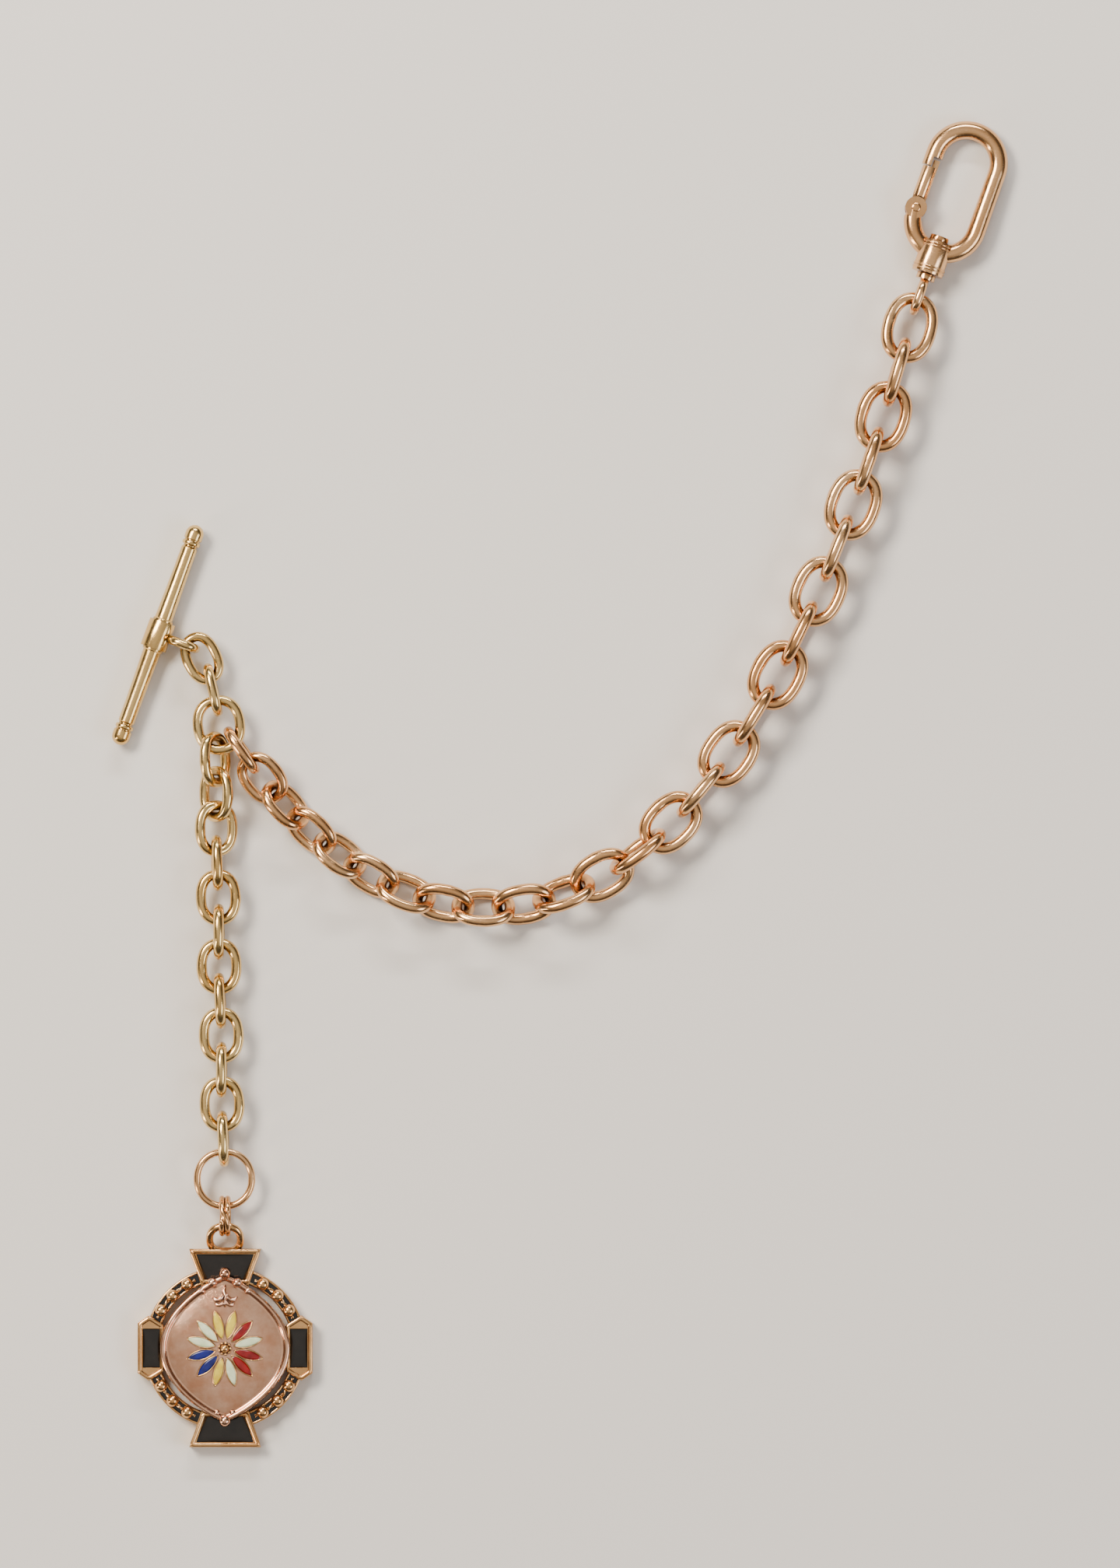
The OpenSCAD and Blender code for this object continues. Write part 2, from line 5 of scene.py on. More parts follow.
import bmesh
import bpy
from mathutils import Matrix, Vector


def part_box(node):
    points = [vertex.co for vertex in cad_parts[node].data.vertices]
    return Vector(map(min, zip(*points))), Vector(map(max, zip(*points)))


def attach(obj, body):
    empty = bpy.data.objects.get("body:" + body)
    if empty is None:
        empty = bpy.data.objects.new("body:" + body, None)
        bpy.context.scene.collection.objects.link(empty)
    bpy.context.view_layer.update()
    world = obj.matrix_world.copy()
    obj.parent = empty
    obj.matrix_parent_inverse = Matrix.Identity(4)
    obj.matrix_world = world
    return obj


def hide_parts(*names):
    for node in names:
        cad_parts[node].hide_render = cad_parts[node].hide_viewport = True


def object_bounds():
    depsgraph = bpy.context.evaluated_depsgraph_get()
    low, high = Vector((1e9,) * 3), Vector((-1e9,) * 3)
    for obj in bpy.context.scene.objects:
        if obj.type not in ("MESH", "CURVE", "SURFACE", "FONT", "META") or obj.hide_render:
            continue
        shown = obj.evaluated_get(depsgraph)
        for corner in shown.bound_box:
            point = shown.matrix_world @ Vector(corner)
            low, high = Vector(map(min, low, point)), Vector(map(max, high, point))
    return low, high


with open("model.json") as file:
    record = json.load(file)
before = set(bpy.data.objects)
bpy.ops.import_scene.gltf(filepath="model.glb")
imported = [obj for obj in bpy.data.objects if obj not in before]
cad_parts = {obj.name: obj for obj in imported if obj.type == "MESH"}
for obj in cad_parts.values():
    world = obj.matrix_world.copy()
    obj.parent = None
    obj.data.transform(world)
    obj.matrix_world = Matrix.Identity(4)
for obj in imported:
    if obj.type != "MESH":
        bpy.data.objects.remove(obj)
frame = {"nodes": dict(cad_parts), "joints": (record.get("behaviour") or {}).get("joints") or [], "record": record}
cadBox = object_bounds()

random.seed(7)
mm = 0.001
upward = Vector((0, 0, 1))
record = frame["record"]
joints = {j["name"]: j for j in frame["joints"]}
hingeOf = {j["child"]: j for j in frame["joints"]}
bodyOf = {n: b for b, names in record["behaviour"]["bodies"].items() for n in names}
slotOf = {s["node"]: s["material_slot"] for s in record["subparts"]}
low, high = Vector(cadBox[0]), Vector(cadBox[1])
centre = (low + high) / 2

# straight down on the laid-out chain, from far off; the shares are how much of the picture it fills
camera = {"lens": 320, "sensor": 36, "heightShare": 0.845, "widthShare": 0.80,
          "picture": (1440, 2016), "clip": (0.01, 20)}

wide, tall = camera["picture"]
frameHeight = max((high.y - low.y) / camera["heightShare"],
                  (high.x - low.x) / camera["widthShare"] * tall / wide)
cam = bpy.data.cameras.new("camera")
cam.lens = camera["lens"]
cam.sensor_width = camera["sensor"]
cam.clip_start, cam.clip_end = camera["clip"]
camObject = bpy.data.objects.new("camera", cam)
camObject.location = (centre.x, centre.y, frameHeight * camera["lens"] / camera["sensor"])
bpy.context.scene.collection.objects.link(camObject)
bpy.context.scene.camera = camObject
print("stage: camera")

# width and depth in metres, place from the object's middle, watts, colour; each one points at the object
lamps = {
    "keySoftbox": {"size": (0.34, 0.22), "at": (-0.42, 0.34, 0.62), "watts": 9.0, "colour": "#FFF4E6"},
    "fillSoftbox": {"size": (0.5, 0.3), "at": (0.62, -0.28, 0.55), "watts": 2.8, "colour": "#F3F6FF"},
    "topStrip": {"size": (0.5, 0.05), "at": (0.05, 0.75, 0.42), "watts": 4.6, "colour": "#FFFFFF"},
    "lowStrip": {"size": (0.06, 0.5), "at": (-0.75, -0.35, 0.30), "watts": 2.4, "colour": "#FFF0DC"},
}
# the room, from its floor line up to the zenith: a broad soft ceiling light over dim walls
room = {"strength": 0.8, "bands": [(0.0, "#8E877E"), (0.3, "#4B453F"), (0.62, "#6E665D"),
                                   (0.86, "#D6CCBF"), (1.0, "#FFF6EA")]}


def linear(hexColour):
    parts = [int(hexColour[i:i + 2], 16) / 255 for i in (1, 3, 5)]
    return tuple(c / 12.92 if c <= 0.04045 else ((c + 0.055) / 1.055) ** 2.4 for c in parts) + (1.0,)


def addNode(tree, kind, values=None, links=None):
    new = tree.nodes.new(kind)
    for key, value in (values or {}).items():
        if isinstance(key, int) or key in new.inputs:
            new.inputs[key].default_value = value
        else:
            setattr(new, key, value)
    for key, source in (links or {}).items():
        tree.links.new(source, new.inputs[key])
    return new


def freshMaterial(name):
    material = bpy.data.materials.new(name)
    material.use_nodes = True
    material.node_tree.nodes.clear()
    return material, material.node_tree


def ramp(tree, source, stops):
    new = addNode(tree, "ShaderNodeValToRGB", links={"Fac": source})
    band = new.color_ramp
    while len(band.elements) < len(stops):
        band.elements.new(0.5)
    for element, (at, colour) in zip(band.elements, stops):
        element.position = at
        element.color = colour if isinstance(colour, tuple) else (colour, colour, colour, 1)
    return new.outputs["Color"]


target = Vector((centre.x, centre.y, 0))
for name, lamp in lamps.items():
    light = bpy.data.lights.new(name, "AREA")
    light.shape = "RECTANGLE"
    light.size, light.size_y = lamp["size"]
    light.energy = lamp["watts"]
    light.color = linear(lamp["colour"])[:3]
    place = target + Vector(lamp["at"])
    lightObject = bpy.data.objects.new(name, light)
    lightObject.location = place
    lightObject.rotation_euler = (target - place).to_track_quat("-Z", "Y").to_euler()
    bpy.context.scene.collection.objects.link(lightObject)

world = bpy.data.worlds.new("room")
bpy.context.scene.world = world
world.use_nodes = True
wt = world.node_tree
wt.nodes.clear()
way = addNode(wt, "ShaderNodeTexCoord")
split = addNode(wt, "ShaderNodeSeparateXYZ", links={"Vector": way.outputs["Generated"]})
sky = ramp(wt, split.outputs["Z"], [(at, linear(colour)) for at, colour in room["bands"]])
glow = addNode(wt, "ShaderNodeBackground", {"Strength": room["strength"]}, {"Color": sky})
addNode(wt, "ShaderNodeOutputWorld", links={"Surface": glow.outputs["Background"]})

# painted board: matt, with a grain that is only felt in its faint shading; grain and its depth in mm
floorLook = {"colour": "#E6E2DC", "roughness": 0.62, "ior": 1.5, "grain": 1.2, "grainStrength": 0.08,
             "grainDepth": 0.05, "side": 6}

floorMaterial, t = freshMaterial("paleBoard")
spot = addNode(t, "ShaderNodeTexCoord")
grain = addNode(t, "ShaderNodeTexNoise", {"Scale": 1 / (floorLook["grain"] * mm), "Detail": 3},
                {"Vector": spot.outputs["Object"]})
raised = addNode(t, "ShaderNodeBump",
                 {"Strength": floorLook["grainStrength"], "Distance": floorLook["grainDepth"] * mm},
                 {"Height": grain.outputs["Fac"]})
board = addNode(t, "ShaderNodeBsdfPrincipled",
                {"Base Color": linear(floorLook["colour"]), "Roughness": floorLook["roughness"],
                 "IOR": floorLook["ior"]}, {"Normal": raised.outputs["Normal"]})
addNode(t, "ShaderNodeOutputMaterial", links={"Surface": board.outputs["BSDF"]})
bpy.ops.mesh.primitive_plane_add(size=floorLook["side"], location=(centre.x, centre.y, 0))
floor = bpy.context.object
floor.name = "floor"
floor.data.materials.append(floorMaterial)
print("stage: floor and light")

# sizes in mm. Polished wire, handled for years: a clear mirror streak with a soft, slightly dented edge
# the darkest colour of each gold is painted into crevices and between parts: real grime and painted shade together
goldLooks = {
    "pale_gold": {"colour": "#EBCB8C", "warm": "#DDB36C", "grimeAndShade": "#5A3A1C", "cloud": 9, "nook": 0.9,
                  "scratch": 0.9, "dent": 0.8, "dentStrength": 0.10, "roughness": (0.13, 0.27)},
    "rose_gold": {"colour": "#EDC08E", "warm": "#DDA068", "grimeAndShade": "#51301A", "cloud": 12, "nook": 1.0,
                  "scratch": 0.9, "dent": 0.9, "dentStrength": 0.10, "roughness": (0.13, 0.27)},
    "fob_gold": {"colour": "#E9BC85", "warm": "#D69C62", "grimeAndShade": "#3B2413", "cloud": 4, "nook": 0.8,
                 "scratch": 0.8, "dent": 0.7, "dentStrength": 0.12, "roughness": (0.14, 0.28)},
    "shield_gold": {"colour": "#F0C3A6", "warm": "#D99B78", "grimeAndShade": "#4A2C1A", "cloud": 2.5, "nook": 0.6,
                    "scratch": 0.4, "dent": 1.5, "dentStrength": 0.22, "roughness": (0.09, 0.22)},
}
# how all of that gold wears and where it is painted darker: depths in mm, "between" is the stretch of its noise,
# or of its ambient occlusion, over which a mark shows
goldWear = {"warmBetween": (0.36, 0.68), "warmest": 0.85, "grimeAndShadeBetween": (0.25, 0.8),
            "scratchTurns": (0.6, 2.1), "scratchLean": (0.5, 0.3), "scratchStretch": 14,
            "scratchBetween": (0.62, 0.74), "scratchDulls": 0.10, "scratchStrength": 0.12,
            "scratchDepth": 0.01, "dentDepth": 0.06}


def goldMaterial(name, look):
    wear = goldWear
    material, t = freshMaterial(name)
    spot = addNode(t, "ShaderNodeTexCoord").outputs["Object"]
    # cloudy shift of the alloy's colour
    cloud = addNode(t, "ShaderNodeTexNoise", {"Scale": 1 / (look["cloud"] * mm), "Detail": 3, "Roughness": 0.6},
                    {"Vector": spot})
    cool, warm = wear["warmBetween"]
    tone = addNode(t, "ShaderNodeMix", {"data_type": "RGBA", 6: linear(look["colour"]), 7: linear(look["warm"])},
                   {0: ramp(t, cloud.outputs["Fac"], [(cool, 0.0), (warm, wear["warmest"])])})
    # old grime that stays where polishing doesn't reach, and painted shade with it: ambient occlusion darkens the
    # colour in crevices, between links and round the beads
    nook = addNode(t, "ShaderNodeAmbientOcclusion", {"samples": 6, "Distance": look["nook"] * mm})
    hidden, bare = wear["grimeAndShadeBetween"]
    grimeAndShadeMask = ramp(t, nook.outputs["AO"], [(hidden, 1.0), (bare, 0.0)])
    base = addNode(t, "ShaderNodeMix", {"data_type": "RGBA", 7: linear(look["grimeAndShade"])},
                   {0: grimeAndShadeMask, 6: tone.outputs[2]})
    # hairline scratches: noise drawn out two ways, so that they cross
    stretch = wear["scratchStretch"]
    lines = []
    for turn in wear["scratchTurns"]:
        swing = addNode(t, "ShaderNodeMapping",
                        {"Rotation": (*wear["scratchLean"], turn), "Scale": (1, stretch, stretch)},
                        {"Vector": spot})
        lines.append(addNode(t, "ShaderNodeTexNoise", {"Scale": 1 / (look["scratch"] * mm), "Detail": 2},
                             {"Vector": swing.outputs["Vector"]}).outputs["Fac"])
    crossed = addNode(t, "ShaderNodeMath", {"operation": "MAXIMUM"}, {0: lines[0], 1: lines[1]}).outputs[0]
    faint, clear = wear["scratchBetween"]
    hairs = ramp(t, crossed, [(faint, 0.0), (clear, 1.0)])
    handled = addNode(t, "ShaderNodeTexNoise", {"Scale": 1 / (look["dent"] * mm), "Detail": 4}, {"Vector": spot})
    shiny, dulled = look["roughness"]
    dull = addNode(t, "ShaderNodeMapRange", {"To Min": shiny, "To Max": dulled}, {"Value": handled.outputs["Fac"]})
    rough = addNode(t, "ShaderNodeMath", {"operation": "MULTIPLY_ADD", 1: wear["scratchDulls"]},
                    {0: hairs, 2: dull.outputs["Result"]})
    dents = addNode(t, "ShaderNodeBump", {"Strength": look["dentStrength"], "Distance": wear["dentDepth"] * mm},
                    {"Height": handled.outputs["Fac"]})
    cuts = addNode(t, "ShaderNodeBump",
                   {"Strength": wear["scratchStrength"], "Distance": wear["scratchDepth"] * mm, "invert": True},
                   {"Height": hairs, "Normal": dents.outputs["Normal"]})
    metal = addNode(t, "ShaderNodeBsdfPrincipled", {"Metallic": 1.0},
                    {"Base Color": base.outputs[2], "Roughness": rough.outputs[0],
                     "Normal": cuts.outputs["Normal"]})
    addNode(t, "ShaderNodeOutputMaterial", links={"Surface": metal.outputs["BSDF"]})
    return material


# glass fired on gold: glossy, a little wavy, with a few pinholes
enamelLooks = {
    "black_enamel": {"colour": "#15110F", "deep": "#0B0908", "pit": "#3A2C20"},
    "red_enamel": {"colour": "#8C1316", "deep": "#650C10", "pit": "#4A1010"},
    "yellow_enamel": {"colour": "#E6D24A", "deep": "#C9A92C", "pit": "#7A6420"},
    "blue_enamel": {"colour": "#16207A", "deep": "#0E1552", "pit": "#0C1034"},
    "pale_enamel": {"colour": "#E3EBCB", "deep": "#C3D2A6", "pit": "#7F8A62"},
}
# the firing that they share: sizes in mm, a pinhole's reach as a share of the spacing between pinholes
firing = {"pool": 0.9, "poolBetween": (0.3, 0.7), "poreSpacing": 0.35, "poreReach": 0.12,
          "waveStrength": 0.25, "waveDepth": 0.04, "roughness": (0.08, 0.2), "ior": 1.54}


def enamelMaterial(name, look):
    material, t = freshMaterial(name)
    spot = addNode(t, "ShaderNodeTexCoord").outputs["Object"]
    pool = addNode(t, "ShaderNodeTexNoise", {"Scale": 1 / (firing["pool"] * mm), "Detail": 2}, {"Vector": spot})
    thin, thick = firing["poolBetween"]
    tone = addNode(t, "ShaderNodeMix", {"data_type": "RGBA", 6: linear(look["colour"]), 7: linear(look["deep"])},
                   {0: ramp(t, pool.outputs["Fac"], [(thin, 0.0), (thick, 1.0)])})
    # pinholes left by the kiln
    pores = addNode(t, "ShaderNodeTexVoronoi", {"Scale": 1 / (firing["poreSpacing"] * mm)}, {"Vector": spot})
    pit = ramp(t, pores.outputs["Distance"], [(0.0, 1.0), (firing["poreReach"], 0.0)])
    base = addNode(t, "ShaderNodeMix", {"data_type": "RGBA", 7: linear(look["pit"])}, {0: pit, 6: tone.outputs[2]})
    wave = addNode(t, "ShaderNodeBump", {"Strength": firing["waveStrength"], "Distance": firing["waveDepth"] * mm},
                   {"Height": pool.outputs["Fac"]})
    glossy, dulled = firing["roughness"]
    dull = addNode(t, "ShaderNodeMapRange", {"To Min": glossy, "To Max": dulled}, {"Value": pool.outputs["Fac"]})
    glaze = addNode(t, "ShaderNodeBsdfPrincipled", {"IOR": firing["ior"]},
                    {"Base Color": base.outputs[2], "Roughness": dull.outputs["Result"],
                     "Normal": wave.outputs["Normal"]})
    addNode(t, "ShaderNodeOutputMaterial", links={"Surface": glaze.outputs["BSDF"]})
    return material


paint = {name: goldMaterial(name.replace("_", "") + "Polished", look) for name, look in goldLooks.items()}
paint.update({name: enamelMaterial(name.replace("_", "") + "Fired", look) for name, look in enamelLooks.items()})

# drawn steel wire: grey, with draw lines a tenth of a millimetre apart
springLook = {"colour": "#A9ACB1", "drawLines": 0.1, "roughness": (0.25, 0.42)}

springMaterial, t = freshMaterial("springSteelDrawn")
spot = addNode(t, "ShaderNodeTexCoord").outputs["Object"]
drawn = addNode(t, "ShaderNodeTexNoise", {"Scale": 1 / (springLook["drawLines"] * mm), "Detail": 2},
                {"Vector": spot})
shiny, dulled = springLook["roughness"]
dull = addNode(t, "ShaderNodeMapRange", {"To Min": shiny, "To Max": dulled}, {"Value": drawn.outputs["Fac"]})
steel = addNode(t, "ShaderNodeBsdfPrincipled", {"Base Color": linear(springLook["colour"]), "Metallic": 1.0},
                {"Roughness": dull.outputs["Result"]})
addNode(t, "ShaderNodeOutputMaterial", links={"Surface": steel.outputs["BSDF"]})
paint["spring_steel"] = springMaterial

for node, cadObject in frame["nodes"].items():
    cadObject.data.materials.clear()
    cadObject.data.materials.append(paint[slotOf[node]])
print("stage: materials")


def softEdges(piece, width, angle):
    edge = piece.modifiers.new("bevel", "BEVEL")
    edge.width = width * mm
    edge.segments = 3
    edge.limit_method = "ANGLE"
    edge.angle_limit = math.radians(angle)
    edge.harden_normals = True


def finishPiece(name, bm, node, standsFor=True, bevel=None):
    bmesh.ops.recalc_face_normals(bm, faces=bm.faces)
    mesh = bpy.data.meshes.new(name)
    bm.to_mesh(mesh)
    bm.free()
    piece = bpy.data.objects.new(name, mesh)
    bpy.context.scene.collection.objects.link(piece)
    mesh.materials.append(paint[slotOf[node]])
    mesh.shade_smooth()
    if bevel:
        softEdges(piece, bevel, 35)
    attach(piece, bodyOf[node])
    if standsFor:
        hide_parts(node)
    return piece


def around(sides):
    return [2 * math.pi * k / sides for k in range(sides)]


def skin(bm, rows, closed=True, joined=False, capped=True):
    # four-sided faces between each row of points and the next; closed goes on round each row,
    # joined goes on from the last row to the first
    count = len(rows[0])
    for one, two in zip(rows, rows[1:] + (rows[:1] if joined else [])):
        for k in range(count if closed else count - 1):
            n = (k + 1) % count
            bm.faces.new((one[k], one[n], two[n], two[k]))
    if capped and not joined:
        bm.faces.new(rows[0][::-1])
        bm.faces.new(rows[-1])


def headings(path, closed):
    # which way the path runs at each of its points
    count = len(path)
    out = []
    for i, point in enumerate(path):
        before = path[i - 1] if closed or i else point
        after = path[(i + 1) % count] if closed or i < count - 1 else point
        out.append((after - before).normalized())
    return out


def sweep(bm, path, radii, sides, closed, start):
    side = start
    rings = []
    for point, ahead, radius in zip(path, headings(path, closed), radii):
        side = (side - ahead * side.dot(ahead)).normalized()
        up = ahead.cross(side)
        rings.append([bm.verts.new(point + (side * math.cos(a) + up * math.sin(a)) * radius)
                      for a in around(sides)])
    skin(bm, rings, joined=closed)


# wear and seam as shares of the wire's radius or the link's half length, the seam's length in mm
linkLook = {"power": 2.3, "steps": 88, "sides": 20, "wearFrom": 0.8, "endWear": 0.035, "seamAt": 0.1,
            "seamSwell": 0.05, "seamLength": 0.45, "wobble": 0.006}


def ovalPoints(a, b, power, steps):
    # evenly spaced points on an oval, picked from twelve times as many
    fine = []
    for turn in around(steps * 12):
        c, s = math.cos(turn), math.sin(turn)
        fine.append((a * math.copysign(abs(c) ** (2 / power), c), b * math.copysign(abs(s) ** (2 / power), s)))
    lengths = [0.0]
    for one, two in zip(fine, fine[1:] + fine[:1]):
        lengths.append(lengths[-1] + math.dist(one, two))
    out, j = [], 0
    for i in range(steps):
        want = lengths[-1] * i / steps
        while lengths[j + 1] < want:
            j += 1
        share = (want - lengths[j]) / max(1e-12, lengths[j + 1] - lengths[j])
        one, two = fine[j], fine[(j + 1) % len(fine)]
        out.append((one[0] + (two[0] - one[0]) * share, one[1] + (two[1] - one[1]) * share))
    return out


def wireLink(name, node, along, across, middle, look=linkLook):
    # an oval of wire as large as its CAD solid: worn thinner at its ends, with a solder seam on one side
    normal = along.cross(across)
    spots = [v.co - middle for v in frame["nodes"][node].data.vertices]
    wire = max(p.dot(normal) for p in spots)
    a = max(p.dot(along) for p in spots) - wire
    b = max(p.dot(across) for p in spots) - wire
    sideSign = random.choice((-1, 1))
    phases = [random.uniform(0, 2 * math.pi) for wave in range(3)]
    path, radii = [], []
    for i, (x, y) in enumerate(ovalPoints(a, b, look["power"], look["steps"])):
        path.append(middle + along * x + across * y)
        worn = max(0.0, abs(x) / a - look["wearFrom"]) / (1 - look["wearFrom"]) * look["endWear"]
        swell = look["seamSwell"] if y * sideSign > 0 else 0
        seam = math.exp(-((x - look["seamAt"] * a) / (look["seamLength"] * mm)) ** 2) * swell
        # two, three and four slow waves round the link
        uneven = sum(math.sin((k + 2) * 2 * math.pi * i / look["steps"] + phase) for k, phase in enumerate(phases))
        radii.append(wire * (1 - worn + seam + uneven * look["wobble"]))
    bm = bmesh.new()
    sweep(bm, path, radii, look["sides"], True, normal)
    return finishPiece(name, bm, node)


def boxMiddle(node):
    lo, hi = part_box(node)
    return (lo + hi) / 2


def hingedAxes(node):
    # a link hangs along the line from its hinge, and is widest along the hinge's own axis
    hinge = hingeOf[bodyOf[node]]
    middle = boxMiddle(node)
    along = (middle - Vector(hinge["pos_m"])).normalized()
    across = Vector(hinge["axis"]).normalized()
    across = (across - along * across.dot(along)).normalized()
    return middle, along, across


links = [n for n in frame["nodes"] if n.startswith(("main_link_", "drop_link_", "t_bar_link_"))]
for node in sorted(links):
    middle, along, across = hingedAxes(node)
    wireLink("wire_" + node, node, along, across, middle)
print("stage:", len(links), "links")


def narrowWay(node, middle):
    # the way across a flat oval is the one in which it measures least, tried half a degree at a time
    spots = [v.co - middle for v in frame["nodes"][node].data.vertices]
    turns = [math.radians(d / 2) for d in range(360)]
    return min((Vector((math.cos(a), math.sin(a), 0)) for a in turns),
               key=lambda way: max(p.dot(way) for p in spots))


middle = boxMiddle("junction_link")
across = narrowWay("junction_link", middle)
wireLink("wire_junction_link", "junction_link", across.cross(upward), across, middle)

jumpLook = dict(linkLook, power=2.12, sides=16, endWear=0.03, seamSwell=0.06, seamLength=0.25, wobble=0.003)
middle, along, across = hingedAxes("large_jump_ring")
wireLink("wire_large_jump_ring", "large_jump_ring", along, across, middle, jumpLook)

# two turns of thin wire, side by side, with cut ends that show. apart: from the ring's middle plane to
# each turn's own, in wire radii; crossing and endShare: shares of the whole wire's length
splitRing = {"turns": 1.94, "steps": 150, "sides": 14, "crossing": 0.11, "slim": 0.92, "apart": 0.9,
             "endShare": 0.012, "endTaper": 0.8}

middle, along, across = hingedAxes("small_double_ring")
normal = along.cross(across)
spots = [v.co - middle for v in frame["nodes"]["small_double_ring"].data.vertices]
wire = max(p.dot(normal) for p in spots) / (1 + splitRing["apart"])
reach = max(p.dot(along) for p in spots) - wire
path, radii = [], []
for i in range(splitRing["steps"] + 1):
    share = i / splitRing["steps"]
    turn = 2 * math.pi * splitRing["turns"] * (share - 0.5) + math.pi / 2
    step = min(1, max(0, (share - 0.5) / splitRing["crossing"] + 0.5))
    offset = (step * step * (3 - 2 * step) * 2 - 1) * wire * splitRing["apart"]
    path.append(middle + (along * math.cos(turn) + across * math.sin(turn)) * reach + normal * offset)
    whole = splitRing["endShare"] < share < 1 - splitRing["endShare"]
    radii.append(wire * splitRing["slim"] * (1 if whole else splitRing["endTaper"]))
bm = bmesh.new()
sweep(bm, path, radii, splitRing["sides"], False, normal)
finishPiece("wire_small_double_ring", bm, "small_double_ring")

# the fob's soldered ring, which stands in a small fillet of solder on the arm's edge; sizes in mm
bail = {"reach": 1.85, "wire": 0.45, "foot": (0, 11.55, 0.8), "power": 2.3, "steps": 64, "sides": 16,
        "solder": 1.1, "solderSwell": 0.25}

foot = Vector(bail["foot"]) * mm
pull = Vector(hingeOf["fob"]["pos_m"])
along = (pull - foot).normalized()
across = Vector((1, 0, 0))
middle = pull - along * bail["reach"] * mm
path, radii = [], []
for x, y in ovalPoints(bail["reach"], bail["reach"], bail["power"], bail["steps"]):
    path.append(middle + (along * x + across * y) * mm)
    near = max(0, 1 - (path[-1] - foot).length / (bail["solder"] * mm))
    radii.append(bail["wire"] * mm * (1 + bail["solderSwell"] * near))
bm = bmesh.new()
sweep(bm, path, radii, bail["sides"], True, along.cross(across))
finishPiece("fob_soldered_ring", bm, "fob_bail")
print("stage: rings")


def lathe(bm, start, axis, profile, sides=40):
    # profile: (place along the axis, radius), both in mm
    axis = axis.normalized()
    side = axis.orthogonal().normalized()
    up = axis.cross(side)
    rings = []
    for x, r in profile:
        at = start + axis * x * mm
        rings.append([bm.verts.new(at + (side * math.cos(a) + up * math.sin(a)) * r * mm)
                      for a in around(sides)])
    skin(bm, rings)


# mm. The collar near each end: (place past collarAt, depth under the bar's own radius)
tBar = {"half": 14.0, "radius": 1.1, "waist": 0.98, "boss": 1.25, "bossHalf": 2.0, "bossEdge": 0.08,
        "collarAt": 11.3, "grooveDepth": 0.16, "grooveWidth": 0.12,
        "collar": [(0.2, 0.06), (0.3, 0), (0.55, 0), (0.65, 0.06), (0.72, 0.16), (0.84, 0.16), (0.92, 0)]}


def tBarProfile(look):
    # one arm from the bar's middle to its round end, and the same mirrored
    half, r, waist = look["half"], look["radius"], look["waist"]
    boss, bossHalf, edge = look["boss"], look["bossHalf"], look["bossEdge"]
    arm = [(0, boss), (bossHalf - edge, boss), (bossHalf, boss - edge), (bossHalf + 0.05, r)]
    for i in range(13):
        share = i / 12
        arm.append((bossHalf + 0.1 + share * (look["collarAt"] - bossHalf - 0.3),
                    r - (r - waist) * math.sin(share * math.pi / 2)))
    at, groove = look["collarAt"], waist - look["grooveDepth"]
    arm += [(at, groove), (at + look["grooveWidth"], groove)]
    arm += [(at + x, r - under) for x, under in look["collar"]]
    for i in range(13):
        a = math.pi / 2 * i / 12
        arm.append((half - r + r * math.sin(a), max(0.02, r * math.cos(a))))
    return [(-x, radius) for x, radius in reversed(arm[1:])] + arm


toggleMount = next(m for m in record["mounts"] if m["name"] == "t_bar_toggle")
bm = bmesh.new()
lathe(bm, boxMiddle("t_bar"), Vector(toggleMount["axis"]), tBarProfile(tBar))
finishPiece("turned_t_bar", bm, "t_bar", bevel=0.03)
print("stage: T-bar")

# the fob lies flat with its back at the origin; sizes in mm from there
fob = {"plateTop": 1.6, "border": 0.4, "shieldA": 7.8, "shieldB": 8.9, "power": 1.15, "base": 0.9,
       "rim": 0.3, "rimWidth": 0.7, "domeTop": 3.25}
shieldLook = {"around": 144, "inside": 26, "sunk": 0.1, "swell": 2.2, "rimSteps": 9, "rimRise": 0.85,
              "rimGap": 0.05, "skirt": 0.42}


def fobPoint(x, y, z):
    return Vector((x, y, z)) * mm


def shieldEdge(turn, inset=0.0):
    c = math.cos(turn)
    return ((fob["shieldA"] - inset) * math.copysign(abs(c) ** (2 / fob["power"]), c),
            (fob["shieldB"] - inset) * math.sin(turn))


def fieldHeight(x, y):
    # the field swells from its rim to its middle, along its own outline
    turn, far = math.atan2(abs(y), abs(x)), math.hypot(x, y)
    a, b = fob["shieldA"] - fob["rimWidth"], fob["shieldB"] - fob["rimWidth"]
    edge, above = 0.0, a + b
    for halving in range(24):
        middle = (edge + above) / 2
        inside = (middle * math.cos(turn) / a) ** fob["power"] + (middle * math.sin(turn) / b) ** 2 < 1
        edge, above = (middle, above) if inside else (edge, middle)
    bottom = fob["plateTop"] + fob["base"] - shieldLook["sunk"]
    return bottom + (fob["domeTop"] - bottom) * (1 - min(1, far / edge) ** shieldLook["swell"])


